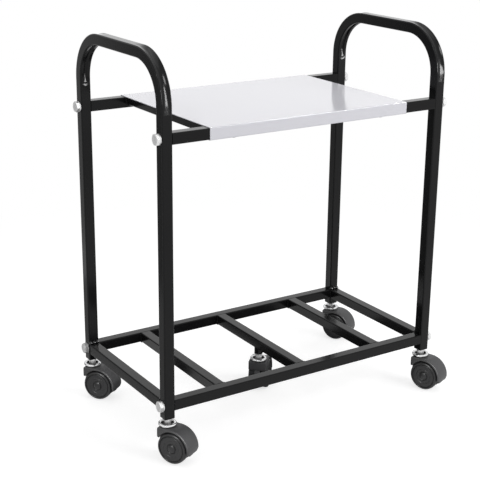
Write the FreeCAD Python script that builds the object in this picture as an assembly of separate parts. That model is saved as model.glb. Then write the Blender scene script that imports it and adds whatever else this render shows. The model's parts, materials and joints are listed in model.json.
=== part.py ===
# Battery trolley: a bolted square-tube stand with a lower platform of slats, a folded
# sheet shelf, two bent handles and five twin-wheel swivel casters.
# Millimetres, +Z up, +X to the right along the long side, +Y to the back, floor at Z = 0.
import FreeCAD, Part
import math
import os

V = FreeCAD.Vector
X_AXIS = V(1, 0, 0)
Y_AXIS = V(0, 1, 0)
Z_AXIS = V(0, 0, 1)

# Frame
LENGTH = 572.0              # over the outer faces of the two side frames
DEPTH = 305.0               # over the front and back faces of the legs
HEIGHT = 685.0              # floor to the top of the handles
TUBE = 19.0                 # outside of the square tube
WALL = 1.5                  # wall of the square tube
CORNER = 2.0                # outside corner radius of the square tube
BEND_RADIUS = 75.0          # handle bends, on the tube's centre line
LEG_FOOT = 75.0             # underside of the legs
PLATFORM_TOP = 107.0        # top of the lower rails and slats
SHELF_RAIL_BASE = 541.0     # underside of the upper rails
SLAT_PITCH = 169.0          # from slat to slat
CROSS_TUBE = 12.7           # small square tube under the shelf panel
CROSS_WALL = 1.2
CROSS_CORNER = 1.5

# Crease pressed into the inside of each handle bend, and the shallow hollow on its outside
CREASE_WIDTH = 13.0
CREASE_DEPTH = 4.5
HOLLOW_WIDTH = 14.0
HOLLOW_DEPTH = 0.9

# Shelf panel
PANEL_LENGTH = 400.0
SHEET = 1.0
SHEET_BEND = 2.0            # outside radius of the folds
RETURN_FLANGE = 13.0        # width of the flange folded under the rails
PANEL_SCREW_X = 150.0
PANEL_SCREW_R = 1.95
PANEL_SCREW_LENGTH = 10.0
PANEL_SCREW_HEAD_R = 4.0
PANEL_SCREW_HEAD = 2.4

# Frame bolts, M10
BOLT_R = 5.0
BOLT_HOLE_R = 5.3
BOLT_FLATS = 17.0
BOLT_HEAD = 6.4
BOLT_REACH = 16.0           # how far the bolt goes into the rail
WASHER_R = 9.0
WASHER = 1.6
NUT_BLOCK = 12.0            # length of the nut block in a rail's end
THREAD_GAP = 0.05

# Caster
WHEEL_R = 27.5
WHEEL_WIDTH = 12.0
WHEEL_INNER_FACE = 5.6      # from the caster's middle plane
RIM_GROOVE_R = 22.6         # ring groove in the wheel's face
HUB_R = 7.0
TRAIL = 17.5                # from the stem's axis to the axle
HOOD_WIDTH = 34.0
HOOD_TOP = 61.0
HOOD_LEAD = 11.0            # from the stem's axis to the hood's leading face
HOOD_LEAD_BASE = 43.5
HOOD_NOSE_R = 3.0
HOOD_EDGE_R = 1.5
WHEEL_GAP = 2.5             # between the tread and the hood
TAIL_ANGLE = -12.0          # where the hood ends behind the wheel, from the horizontal
TAIL_CHAMFER = 6.0
WEB_WIDTH = 10.0
WEB_BASE = 16.0
AXLE_R = 3.0
AXLE_HALF = 15.1
RUNNING_GAP = 0.05
RING_R = 16.0
RING_HOLE_R = 4.0
RING_TOP = 67.0
RING_FLOOR = 62.8
STEM_R = 5.0
STEM_TOP = 91.0
COLLAR_R = 6.0
COLLAR_BASE = 63.0
HEX_BASE = 68.0
HEX_FLATS = 12.0
PIN_R = 3.5
PIN_BASE = 40.0
FOOT_PLUG = 16.0
BUSH_R = 8.0

# Places worked out from the sizes above
LEG_X = (LENGTH - TUBE) / 2
LEG_Y = (DEPTH - TUBE) / 2
INNER_X = LENGTH / 2 - TUBE
INNER_Y = DEPTH / 2 - TUBE
PLATFORM_MID = PLATFORM_TOP - TUBE / 2
SHELF_RAIL_MID = SHELF_RAIL_BASE + TUBE / 2
SHELF_RAIL_TOP = SHELF_RAIL_BASE + TUBE
HANDLE_MID = HEIGHT - TUBE / 2
BEND_START = HANDLE_MID - BEND_RADIUS
BEND_Y = LEG_Y - BEND_RADIUS
CREASE_R = (CREASE_WIDTH ** 2 / 4 + CREASE_DEPTH ** 2) / (2 * CREASE_DEPTH)
CREASE_IN = TUBE / 2 + CREASE_R - CREASE_DEPTH
HOLLOW_R = (HOLLOW_WIDTH ** 2 / 4 + HOLLOW_DEPTH ** 2) / (2 * HOLLOW_DEPTH)
HOLLOW_OUT = TUBE / 2 + HOLLOW_R - HOLLOW_DEPTH
HOOD_R = HOOD_TOP - WHEEL_R
POCKET_R = WHEEL_R + WHEEL_GAP

# Where each caster stands, and the way it trails at rest, in degrees from +X
CASTERS = {
    "front_left": (-LEG_X, -LEG_Y, -62.0),
    "front_right": (LEG_X, -LEG_Y, -70.0),
    "back_left": (-LEG_X, LEG_Y, -54.0),
    "back_right": (LEG_X, LEG_Y, -64.0),
    "centre": (0.0, 0.0, 44.0),
}


def placed(shape, start, direction=Z_AXIS):
    """Copy of a shape that was made along +Z from the origin, laid along a direction."""
    copy = shape.copy()
    copy.Placement = FreeCAD.Placement(start, FreeCAD.Rotation(Z_AXIS, direction))
    return copy


def rounded_rectangle(width, height, corner):
    """Closed outline of a rectangle with rounded corners, centred on the Z axis."""
    half_x = width / 2
    half_y = height / 2
    reach = corner * (1 - math.sqrt(0.5))
    edges = []
    for sx, sy in ((1, 1), (-1, 1), (-1, -1), (1, -1)):
        side = V(sx * half_x, sy * (half_y - corner), 0)
        middle = V(sx * (half_x - reach), sy * (half_y - reach), 0)
        end = V(sx * (half_x - corner), sy * half_y, 0)
        first, last = (side, end) if sx == sy else (end, side)
        if edges:
            edges.append(Part.LineSegment(previous, first).toShape())
        else:
            start = first
        edges.append(Part.Arc(first, middle, last).toShape())
        previous = last
    edges.append(Part.LineSegment(previous, start).toShape())
    return Part.Wire(edges)


def square_face(side, corner):
    return Part.Face(rounded_rectangle(side, side, corner))


def square_tube(length, side=TUBE, wall=WALL, corner=CORNER):
    outside = square_face(side, corner).extrude(Z_AXIS * length)
    inside = square_face(side - 2 * wall, corner - wall).extrude(Z_AXIS * length)
    return outside.cut(inside)


def hexagon(flats, length):
    """Hexagonal bar with its corners up and down."""
    radius = flats / math.sqrt(3)
    corners = [V(radius * math.sin(math.radians(60 * k)), radius * math.cos(math.radians(60 * k)), 0)
               for k in range(7)]
    return Part.Face(Part.makePolygon(corners)).extrude(Z_AXIS * length)


def revolved(points, axis=Z_AXIS):
    """Solid of revolution of a closed outline given as points in a plane through the axis."""
    outline = Part.makePolygon(points + points[:1])
    return Part.Face(outline).revolve(V(0, 0, 0), axis, 360)


# Side frames

def arch(side, corner):
    """Upside-down U of solid square bar in the YZ plane: two legs, two bends, one straight top."""
    face = square_face(side, corner)
    top = placed(face.extrude(Z_AXIS * (2 * BEND_Y)), V(0, -BEND_Y, HANDLE_MID), Y_AXIS)
    pieces = []
    for sign in (-1, 1):
        foot = placed(face, V(0, sign * LEG_Y, LEG_FOOT))
        pieces.append(foot.extrude(Z_AXIS * (BEND_START - LEG_FOOT)))
        bend_face = placed(face, V(0, sign * LEG_Y, BEND_START))
        pieces.append(bend_face.revolve(V(0, sign * BEND_Y, BEND_START), X_AXIS, sign * 90))
    return top.fuse(pieces).removeSplitter()


def grooves(radius, outward):
    """Round-ended bars that follow both bends, a distance outward of the tube's centre line."""
    bars = []
    for sign in (-1, 1):
        centre = V(0, sign * BEND_Y, BEND_START)
        start = V(0, sign * (LEG_Y + outward), BEND_START)
        end = V(0, sign * BEND_Y, HANDLE_MID + outward)
        circle = Part.Face(Part.Wire(Part.makeCircle(radius, start, Z_AXIS)))
        bar = circle.revolve(centre, X_AXIS, sign * 90)
        bars.extend([bar, Part.makeSphere(radius, start), Part.makeSphere(radius, end)])
    return bars


def side_frame(side_x):
    """Bent tube with its creased bends, and clearance holes for the four bolts."""
    bore = arch(TUBE - 2 * WALL, CORNER - WALL)
    bore = bore.cut(grooves(CREASE_R + WALL, -CREASE_IN) + grooves(HOLLOW_R + WALL, HOLLOW_OUT))
    tube = arch(TUBE, CORNER).cut(bore)
    tube = tube.cut(grooves(CREASE_R, -CREASE_IN) + grooves(HOLLOW_R, HOLLOW_OUT))
    for y in (-LEG_Y, LEG_Y):
        for z in (PLATFORM_MID, SHELF_RAIL_MID):
            tube = tube.cut(Part.makeCylinder(BOLT_HOLE_R, 2 * TUBE, V(-TUBE, y, z), X_AXIS))
    tube.translate(V(side_x, 0, 0))
    return tube


# Rails, slats and cross-members

def long_rail(y, z):
    return placed(square_tube(2 * INNER_X), V(-INNER_X, y, z), X_AXIS)


def shelf_rail(y):
    """Upper rail, drilled underneath for the panel's screws."""
    rail = long_rail(y, SHELF_RAIL_MID)
    for x in (-PANEL_SCREW_X, PANEL_SCREW_X):
        drill = V(x, y, SHELF_RAIL_BASE - WALL)
        rail = rail.cut(Part.makeCylinder(PANEL_SCREW_R + THREAD_GAP, 3 * WALL, drill))
    return rail


def cross_bar(x, z, **tube):
    return placed(square_tube(2 * INNER_Y, **tube), V(x, -INNER_Y, z), Y_AXIS)


def shelf_cross(side):
    x = side * (PANEL_LENGTH / 2 - SHEET - CROSS_TUBE / 2)
    z = SHELF_RAIL_TOP - CROSS_TUBE / 2
    return cross_bar(x, z, side=CROSS_TUBE, wall=CROSS_WALL, corner=CROSS_CORNER)


def middle_slat():
    """Slat with a hole in its underside for the centre caster's stem."""
    hole = Part.makeCylinder(BOLT_HOLE_R, 3 * WALL, V(0, 0, PLATFORM_TOP - TUBE - WALL))
    return cross_bar(0, PLATFORM_MID).cut(hole)


# Shelf panel

def shelf_panel():
    """Sheet folded down over both rails, with a flange returned under each rail."""
    outside = rounded_rectangle(TUBE + 2 * SHEET, DEPTH + 2 * SHEET, SHEET_BEND)
    inside = rounded_rectangle(TUBE, DEPTH, SHEET_BEND - SHEET)
    panel = Part.Face(outside).extrude(Z_AXIS * PANEL_LENGTH)
    panel = panel.cut(Part.Face(inside).extrude(Z_AXIS * PANEL_LENGTH))
    panel.Placement = FreeCAD.Placement(
        V(-PANEL_LENGTH / 2, 0, SHELF_RAIL_MID), FreeCAD.Rotation(Y_AXIS, 90))
    opening = DEPTH + 2 * SHEET - 2 * RETURN_FLANGE
    slot = Part.makeBox(2 * PANEL_LENGTH, opening, TUBE)
    slot.translate(V(-PANEL_LENGTH, -opening / 2, SHELF_RAIL_BASE - TUBE + SHEET))
    panel = panel.cut(slot)
    for x, y in panel_screw_places():
        drill = V(x, y, SHELF_RAIL_BASE - 2 * SHEET)
        panel = panel.cut(Part.makeCylinder(PANEL_SCREW_R + THREAD_GAP, 3 * SHEET, drill))
    return panel


def panel_screw_places():
    return [(x, y) for x in (-PANEL_SCREW_X, PANEL_SCREW_X) for y in (-LEG_Y, LEG_Y)]


def panel_screw():
    """Pan-head self-tapping screw, pointing up, with its head's seat at the origin."""
    tip = PANEL_SCREW_LENGTH - 2 * PANEL_SCREW_R
    return revolved([
        V(0, 0, -PANEL_SCREW_HEAD),
        V(PANEL_SCREW_HEAD_R * 0.7, 0, -PANEL_SCREW_HEAD),
        V(PANEL_SCREW_HEAD_R, 0, -PANEL_SCREW_HEAD * 0.6),
        V(PANEL_SCREW_HEAD_R, 0, 0),
        V(PANEL_SCREW_R, 0, 0),
        V(PANEL_SCREW_R, 0, tip),
        V(0, 0, PANEL_SCREW_LENGTH),
    ])


# Bolts, washers and nut blocks

def bolt():
    """Hex-head bolt along +Z, with the underside of its head at the origin."""
    length = WASHER + TUBE + BOLT_REACH
    corner_r = BOLT_FLATS / math.sqrt(3)
    head = hexagon(BOLT_FLATS, BOLT_HEAD)
    head.translate(V(0, 0, -BOLT_HEAD))
    bevel = revolved([
        V(0, 0, -BOLT_HEAD),
        V(BOLT_FLATS / 2 - 0.5, 0, -BOLT_HEAD),
        V(corner_r + 0.1, 0, -BOLT_HEAD + (corner_r + 0.6 - BOLT_FLATS / 2) * math.tan(math.radians(30))),
        V(corner_r + 0.1, 0, 0),
        V(0, 0, 0),
    ])
    shank = Part.makeCylinder(BOLT_R, length - 1).fuse(
        Part.makeCone(BOLT_R, BOLT_R - 1, 1, V(0, 0, length - 1)))
    return head.common(bevel).fuse(shank).removeSplitter()


def washer():
    return Part.makeCylinder(WASHER_R, WASHER).cut(Part.makeCylinder(BOLT_HOLE_R, WASHER))


def nut_block():
    block = square_face(TUBE - 2 * WALL, CORNER - WALL / 2).extrude(Z_AXIS * NUT_BLOCK)
    return block.cut(Part.makeCylinder(BOLT_R + THREAD_GAP, NUT_BLOCK))


def at_rail_ends(shape, outer_x, levels):
    """Copies of a shape made along +Z, pointing inwards at the ends of the rails."""
    return [placed(shape, V(side * outer_x, y, z), X_AXIS * -side)
            for z in levels for side in (-1, 1) for y in (-LEG_Y, LEG_Y)]


# Casters, made with the stem on the Z axis and trailing towards +X

def foot_plug():
    plug = square_face(TUBE - 2 * WALL, CORNER - WALL / 2).extrude(Z_AXIS * FOOT_PLUG)
    return plug.cut(Part.makeCylinder(STEM_R + THREAD_GAP, FOOT_PLUG))


def slat_bush():
    depth = PLATFORM_TOP - TUBE - LEG_FOOT
    return Part.makeCylinder(BUSH_R, depth).cut(Part.makeCylinder(STEM_R + THREAD_GAP, depth))


def stem():
    """Threaded stem, hexagon and collar on top of the swivel pin."""
    turned = revolved([
        V(0, 0, PIN_BASE),
        V(PIN_R - 1, 0, PIN_BASE),
        V(PIN_R, 0, PIN_BASE + 1),
        V(PIN_R, 0, COLLAR_BASE),
        V(COLLAR_R, 0, COLLAR_BASE),
        V(COLLAR_R, 0, LEG_FOOT),
        V(STEM_R, 0, LEG_FOOT),
        V(STEM_R, 0, STEM_TOP - 1),
        V(STEM_R - 1, 0, STEM_TOP),
        V(0, 0, STEM_TOP),
    ])
    flats = hexagon(HEX_FLATS, LEG_FOOT - HEX_BASE)
    flats.translate(V(0, 0, HEX_BASE))
    return turned.fuse(flats).removeSplitter()


def swivel_ring():
    """Dished ring that turns with the hood under the stem's collar."""
    return revolved([
        V(RING_HOLE_R, 0, HOOD_TOP),
        V(RING_R - 3.2, 0, HOOD_TOP),
        V(RING_R - 1.2, 0, HOOD_TOP + 0.8),
        V(RING_R - 0.3, 0, HOOD_TOP + 2.0),
        V(RING_R, 0, HOOD_TOP + 3.1),
        V(RING_R - 0.3, 0, RING_TOP - 1.7),
        V(RING_R - 1.2, 0, RING_TOP - 0.5),
        V(RING_R - 2.6, 0, RING_TOP),
        V(RING_R - 3.8, 0, RING_TOP - 0.4),
        V(RING_R - 4.6, 0, RING_TOP - 1.4),
        V(RING_R - 5.5, 0, RING_FLOOR + 0.5),
        V(RING_R - 6.4, 0, RING_FLOOR),
        V(RING_HOLE_R, 0, RING_FLOOR),
    ])


def on_circle(radius, degrees):
    """Point in the XZ plane at an angle round the axle."""
    a = math.radians(degrees)
    return V(TRAIL + radius * math.cos(a), 0, WHEEL_R + radius * math.sin(a))


def hood_shell():
    """Fender round both wheels, with a block under the ring at its leading end."""
    lead_angle = 180 - math.degrees(math.asin((HOOD_LEAD_BASE - WHEEL_R) / POCKET_R))
    mid_angle = (lead_angle + TAIL_ANGLE) / 2
    nose = HOOD_NOSE_R * (1 - math.sqrt(0.5))
    lead_base = V(-HOOD_LEAD, 0, HOOD_LEAD_BASE)
    nose_low = V(-HOOD_LEAD, 0, HOOD_TOP - HOOD_NOSE_R)
    nose_mid = V(-HOOD_LEAD + nose, 0, HOOD_TOP - nose)
    nose_high = V(-HOOD_LEAD + HOOD_NOSE_R, 0, HOOD_TOP)
    outline = Part.Wire([
        Part.LineSegment(lead_base, nose_low).toShape(),
        Part.Arc(nose_low, nose_mid, nose_high).toShape(),
        Part.LineSegment(nose_high, on_circle(HOOD_R, 90)).toShape(),
        Part.Arc(on_circle(HOOD_R, 90), on_circle(HOOD_R, 40), on_circle(HOOD_R, TAIL_ANGLE)).toShape(),
        Part.LineSegment(on_circle(HOOD_R, TAIL_ANGLE), on_circle(POCKET_R, TAIL_ANGLE)).toShape(),
        Part.Arc(on_circle(POCKET_R, TAIL_ANGLE), on_circle(POCKET_R, mid_angle),
                 on_circle(POCKET_R, lead_angle)).toShape(),
        Part.LineSegment(on_circle(POCKET_R, lead_angle), lead_base).toShape(),
    ])
    shell = Part.Face(outline).extrude(Y_AXIS * HOOD_WIDTH)
    shell.translate(V(0, -HOOD_WIDTH / 2, 0))
    return shell.makeFillet(HOOD_EDGE_R, [e for e in shell.Edges if on_hood_rim(e)])


def on_hood_rim(edge):
    """True for the edges of the hood's two sides that follow its outer surface."""
    box = edge.BoundBox
    flat_side = box.YLength < 0.01 and abs(abs(box.YMin) - HOOD_WIDTH / 2) < 0.01
    middle = edge.valueAt((edge.FirstParameter + edge.LastParameter) / 2)
    from_axle = math.hypot(middle.x - TRAIL, middle.z - WHEEL_R)
    in_tail = middle.x > TRAIL and middle.z < WHEEL_R
    return flat_side and from_axle > HOOD_R - 0.1 and not in_tail and middle.z > HOOD_LEAD_BASE + 0.1


def tail_cutters():
    """Wedges that bevel the two lower corners of the hood's tail."""
    tail_z = on_circle(HOOD_R, TAIL_ANGLE).z
    wedges = []
    for sign in (-1, 1):
        edge_y = sign * (HOOD_WIDTH / 2 + 1)
        corner = V(TRAIL + 0.5 * HOOD_R, edge_y, tail_z - 1)
        up = V(corner.x, edge_y, tail_z + TAIL_CHAMFER + 1)
        inward = V(corner.x, sign * (HOOD_WIDTH / 2 - TAIL_CHAMFER - 1), tail_z - 1)
        wedge = Part.Face(Part.makePolygon([corner, up, inward, corner]))
        wedges.append(wedge.extrude(X_AXIS * HOOD_R))
    return wedges


def hood():
    """Hood with the web between the wheels that carries the swivel pin and the axle."""
    web = Part.makeCylinder(POCKET_R + 1, WEB_WIDTH, V(TRAIL, -WEB_WIDTH / 2, WHEEL_R), Y_AXIS)
    below = Part.makeBox(4 * HOOD_R, 2 * WEB_WIDTH, WEB_BASE + 2 * HOOD_R)
    below.translate(V(-2 * HOOD_R, -WEB_WIDTH, -2 * HOOD_R))
    body = hood_shell().cut(tail_cutters()).fuse(web.cut(below)).removeSplitter()
    pin_bore = Part.makeCylinder(PIN_R + RUNNING_GAP, HOOD_TOP - PIN_BASE + 1, V(0, 0, PIN_BASE - 1))
    axle_bore = Part.makeCylinder(AXLE_R + THREAD_GAP, 2 * WEB_WIDTH, V(TRAIL, -WEB_WIDTH, WHEEL_R), Y_AXIS)
    return body.cut([pin_bore, axle_bore])


def axle():
    return Part.makeCylinder(AXLE_R, 2 * AXLE_HALF, V(TRAIL, -AXLE_HALF, WHEEL_R), Y_AXIS)


def wheel(side):
    """One wheel of the pair: tread, ringed face, hub cap, and a blind bore for the axle."""
    bore_r = AXLE_R + RUNNING_GAP
    bore_end = AXLE_HALF + 0.5 - WHEEL_INNER_FACE
    face = WHEEL_WIDTH
    disc = revolved([
        V(bore_r, 0, 0),
        V(HUB_R, 0, 0),
        V(HUB_R, face - 4.0, 0),
        V(WHEEL_R - 4.0, face - 4.0, 0),
        V(WHEEL_R - 3.5, 0, 0),
        V(WHEEL_R - 1.0, 0, 0),
        V(WHEEL_R, 1.0, 0),
        V(WHEEL_R, face - 2.4, 0),
        V(WHEEL_R - 0.5, face - 1.2, 0),
        V(WHEEL_R - 1.4, face - 0.4, 0),
        V(WHEEL_R - 2.6, face, 0),
        V(RIM_GROOVE_R + 0.8, face, 0),
        V(RIM_GROOVE_R + 0.4, face - 0.9, 0),
        V(RIM_GROOVE_R - 0.4, face - 0.9, 0),
        V(RIM_GROOVE_R - 0.8, face, 0),
        V(HUB_R + 0.4, face - 0.6, 0),
        V(HUB_R, face + 0.1, 0),
        V(HUB_R * 0.75, face + 0.8, 0),
        V(HUB_R * 0.4, face + 1.1, 0),
        V(0, face + 1.2, 0),
        V(0, bore_end, 0),
        V(bore_r, bore_end, 0),
    ], Y_AXIS)
    turn = 0 if side > 0 else 180
    disc.Placement = FreeCAD.Placement(
        V(TRAIL, side * WHEEL_INNER_FACE, WHEEL_R), FreeCAD.Rotation(Z_AXIS, turn))
    return disc


def caster(x, y, azimuth):
    """The caster's pieces at its place under the frame, turned as it rests."""
    pieces = {
        "stem": stem(),
        "swivel_ring": swivel_ring(),
        "hood": hood(),
        "axle": axle(),
        "wheel_left": wheel(1),
        "wheel_right": wheel(-1),
    }
    for shape in pieces.values():
        shape.rotate(V(0, 0, 0), Z_AXIS, azimuth)
        shape.translate(V(x, y, 0))
    return pieces


# The whole trolley

nodes = {
    "left_side_frame": side_frame(-LEG_X),
    "right_side_frame": side_frame(LEG_X),
    "left_end_rail": cross_bar(-LEG_X, PLATFORM_MID),
    "right_end_rail": cross_bar(LEG_X, PLATFORM_MID),
    "lower_front_rail": long_rail(-LEG_Y, PLATFORM_MID),
    "lower_back_rail": long_rail(LEG_Y, PLATFORM_MID),
    "left_slat": cross_bar(-SLAT_PITCH, PLATFORM_MID),
    "middle_slat": middle_slat(),
    "right_slat": cross_bar(SLAT_PITCH, PLATFORM_MID),
    "upper_front_rail": shelf_rail(-LEG_Y),
    "upper_back_rail": shelf_rail(LEG_Y),
    "left_shelf_cross": shelf_cross(-1),
    "right_shelf_cross": shelf_cross(1),
    "shelf_panel": shelf_panel(),
}
bolt_seat = LENGTH / 2 + WASHER
groups = {
    "lower_bolts": at_rail_ends(bolt(), bolt_seat, [PLATFORM_MID]),
    "upper_bolts": at_rail_ends(bolt(), bolt_seat, [SHELF_RAIL_MID]),
    "bolt_washers": at_rail_ends(washer(), bolt_seat, [PLATFORM_MID, SHELF_RAIL_MID]),
    "rail_nut_blocks": at_rail_ends(nut_block(), INNER_X, [PLATFORM_MID, SHELF_RAIL_MID]),
    "foot_plugs": [placed(foot_plug(), V(x, y, LEG_FOOT)) for x in (-LEG_X, LEG_X) for y in (-LEG_Y, LEG_Y)],
    "slat_bush": [placed(slat_bush(), V(0, 0, LEG_FOOT))],
    "panel_screws": [placed(panel_screw(), V(x, y, SHELF_RAIL_BASE - SHEET)) for x, y in panel_screw_places()],
}
for name, shapes in groups.items():
    nodes[name] = Part.makeCompound(shapes) if len(shapes) > 1 else shapes[0]
for place, (x, y, azimuth) in CASTERS.items():
    for piece, shape in caster(x, y, azimuth).items():
        nodes[place + "_" + piece] = shape

# The origin is on the floor, at the middle of the footprint with the casters as they rest
whole = Part.makeCompound(list(nodes.values())).optimalBoundingBox(True, False)
centre = V(round(whole.Center.x, 1), round(whole.Center.y, 1), 0)

os.makedirs("parts", exist_ok=True)
for name, shape in nodes.items():
    shape.translate(-centre)
    shape.exportStep("parts/" + name + ".step")

print(len(nodes), "nodes; frame centre stands at", -centre.x, -centre.y)
print("size", round(whole.XLength, 1), round(whole.YLength, 1), round(whole.ZLength, 1))
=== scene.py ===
# %% [markdown]
# # A battery trolley on five casters
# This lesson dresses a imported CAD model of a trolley: black square tube, a pale folded shelf,
# zinc bolts and hooded twin-wheel casters. The CAD nodes already stand in the right place, so
# a node whose shape is good only gets a better finish, and a node that needs finer detail is
# replaced by a mesh made here, in the same frame and in metres.

# %% Open the frame
import json
import math
import bmesh
import bpy
from mathutils import Matrix, Vector
from mathutils.geometry import tessellate_polygon

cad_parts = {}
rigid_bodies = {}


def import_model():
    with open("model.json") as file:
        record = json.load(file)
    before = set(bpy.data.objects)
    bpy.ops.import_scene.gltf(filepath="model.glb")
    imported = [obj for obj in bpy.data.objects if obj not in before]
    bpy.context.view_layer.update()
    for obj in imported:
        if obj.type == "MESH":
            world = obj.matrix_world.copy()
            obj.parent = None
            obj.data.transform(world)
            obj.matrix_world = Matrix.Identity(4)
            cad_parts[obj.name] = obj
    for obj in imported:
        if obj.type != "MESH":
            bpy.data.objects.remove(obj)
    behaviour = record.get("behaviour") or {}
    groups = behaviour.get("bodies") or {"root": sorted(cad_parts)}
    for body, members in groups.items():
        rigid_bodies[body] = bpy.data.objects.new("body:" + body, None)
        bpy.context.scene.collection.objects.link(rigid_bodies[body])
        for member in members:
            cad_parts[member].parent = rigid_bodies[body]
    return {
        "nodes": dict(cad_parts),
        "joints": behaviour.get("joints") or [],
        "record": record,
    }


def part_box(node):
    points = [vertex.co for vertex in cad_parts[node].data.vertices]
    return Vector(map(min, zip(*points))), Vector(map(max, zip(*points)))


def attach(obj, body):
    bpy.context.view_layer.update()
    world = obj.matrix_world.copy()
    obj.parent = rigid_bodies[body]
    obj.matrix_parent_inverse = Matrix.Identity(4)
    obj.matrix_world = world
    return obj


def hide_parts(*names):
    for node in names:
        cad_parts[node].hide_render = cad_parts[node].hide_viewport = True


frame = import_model()
nodes = frame["nodes"]
joints = {joint["name"]: joint for joint in frame["joints"]}
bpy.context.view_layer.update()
MM = 0.001
places = sorted(name.removesuffix("_swivel") for name in joints if name.endswith("_swivel"))
print("casters:", places)

# %% [markdown]
# ## Sums on node values
# A finish is mostly sums: a little noise added to a roughness, one pattern times another. Adding
# Math nodes by hand hides those sums, so one small class wraps a socket and turns Python's own
# operators into Math nodes. Every other node comes from its one method, `node`. Geometry Nodes
# have the same Math nodes, so the class serves there too.

# %% A socket that can be added and multiplied


class Value:
    """An output socket in a node tree, on which sums can be written."""

    def __init__(self, tree, socket=None):
        self.tree = tree
        self.socket = socket

    def node(self, kind, inputs=None, out=0, **settings):
        """A new node in the same tree, as the value of one of its outputs."""
        made = self.tree.nodes.new(kind)
        for name, setting in settings.items():
            setattr(made, name, setting)
        for name, value in (inputs or {}).items():
            if isinstance(value, Value):
                self.tree.links.new(value.socket, made.inputs[name])
            else:
                made.inputs[name].default_value = value
        return Value(self.tree, made.outputs[out])

    def other(self, name):
        """Another output of the node that this value comes from."""
        return Value(self.tree, self.socket.node.outputs[name])

    def parts(self):
        """The X, Y and Z of a vector."""
        x = self.node("ShaderNodeSeparateXYZ", {0: self})
        return x, x.other("Y"), x.other("Z")

    def math(self, operation, first, second=0.0):
        return self.node("ShaderNodeMath", {0: first, 1: second}, operation=operation)

    def __add__(self, other):
        return self.math("ADD", self, other)

    def __sub__(self, other):
        return self.math("SUBTRACT", self, other)

    def __rsub__(self, other):
        return self.math("SUBTRACT", other, self)

    def __mul__(self, other):
        return self.math("MULTIPLY", self, other)

    def __truediv__(self, other):
        return self.math("DIVIDE", self, other)

    __radd__ = __add__
    __rmul__ = __mul__


print("sums on sockets ready")

# %% Patterns and finishes
finishes = {}


def new_finish(slot, **constants):
    """Material for a slot of the record, its shader, and the object's coordinates in metres."""
    material = finishes[slot] = bpy.data.materials.new(slot + "_finish")
    material.use_nodes = True
    shader = material.node_tree.nodes["Principled BSDF"]
    for socket, number in constants.items():
        shader.inputs[socket.replace("_", " ")].default_value = number
    place = Value(material.node_tree).node("ShaderNodeTexCoord", out=3)
    return material, shader, place


def connect(shader, **values):
    """Plugs values into the sockets of a shader."""
    for socket, value in values.items():
        shader.id_data.links.new(value.socket, shader.inputs[socket.replace("_", " ")])


def noise(place, scale, detail):
    """Soft random pattern, from 0 to 1, with `scale` features to the metre."""
    return place.node("ShaderNodeTexNoise", {"Vector": place, "Scale": scale, "Detail": detail})


def mixed(factor, first, second):
    """Colour between two colours."""
    sockets = {0: factor, 6: (*first, 1), 7: (*second, 1)}
    return factor.node("ShaderNodeMix", sockets, 2, data_type="RGBA")


def bump(height, depth):
    """Normal of a surface with a relief, whose height runs from 0 to `depth` metres."""
    return height.node("ShaderNodeBump", {"Height": height, "Distance": depth})


def painted(place, attribute):
    """Number that a mesh holds at each of its points under a name."""
    return place.node("ShaderNodeAttribute", out=2, attribute_name=attribute)


print("patterns ready")

# %% [markdown]
# ## Black powder coat
# The tubes are sprayed with dry powder and baked. Up close the coat has a shallow orange peel, a
# millimetre or two from crest to crest, and it is neither matt nor shiny. Two noises in the bump
# give the peel and its finer grain, and a slow noise keeps the gloss from being even. Over a fat
# weld the powder flows out smooth and glossy, so a point attribute named `weld` adds gloss there.

# %% Make the powder coat
powder_coat, shader, place = new_finish(
    "black_powder_coat", Specular_IOR_Level=0.15, Coat_Roughness=0.1)
peel = noise(place, 520, 2)
grain = noise(place, 2600, 1)
drift = noise(place, 9, 3)
connect(
    shader,
    Base_Color=mixed(drift, (0.0050, 0.0050, 0.0053), (0.0080, 0.0080, 0.0084)),
    Roughness=0.12 + 0.04 * drift + 0.03 * grain,
    Coat_Weight=painted(place, "weld"),
    Normal=bump(peel + 0.35 * grain, 0.02 * MM),
)
print(powder_coat.name)

# %% [markdown]
# ## Pale gloss of the shelf
# The shelf is sheet metal with a thick, glossy, bluish-white coat. It mirrors the leg behind it,
# so its roughness is low. A separate clear coat over it would only mirror the same things twice.
# The peel is longer and flatter than on the tubes, and only shows where an edge is reflected.

# %% Make the pale gloss
pale_gloss, shader, place = new_finish("pale_gloss_coat", Specular_IOR_Level=0.24)
ripple = noise(place, 160, 1)
drift = noise(place, 5, 2)
connect(
    shader,
    Base_Color=mixed(drift, (0.665, 0.662, 0.705), (0.695, 0.692, 0.735)),
    Roughness=0.09 + 0.04 * drift,
    Normal=bump(ripple, 0.02 * MM),
)
print(pale_gloss.name)

# %% [markdown]
# ## Zinc, chrome and plain steel
# The bolts and stems are zinc-plated: a pale, slightly milky metal with a faint crystal mottle, so
# it is not fully metallic. The swivel rings are chromed and polished on the rim, and their dish is
# dark and dull. The same point attribute that marks a tread marks that dish. The axle is plain
# drawn steel.

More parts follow.
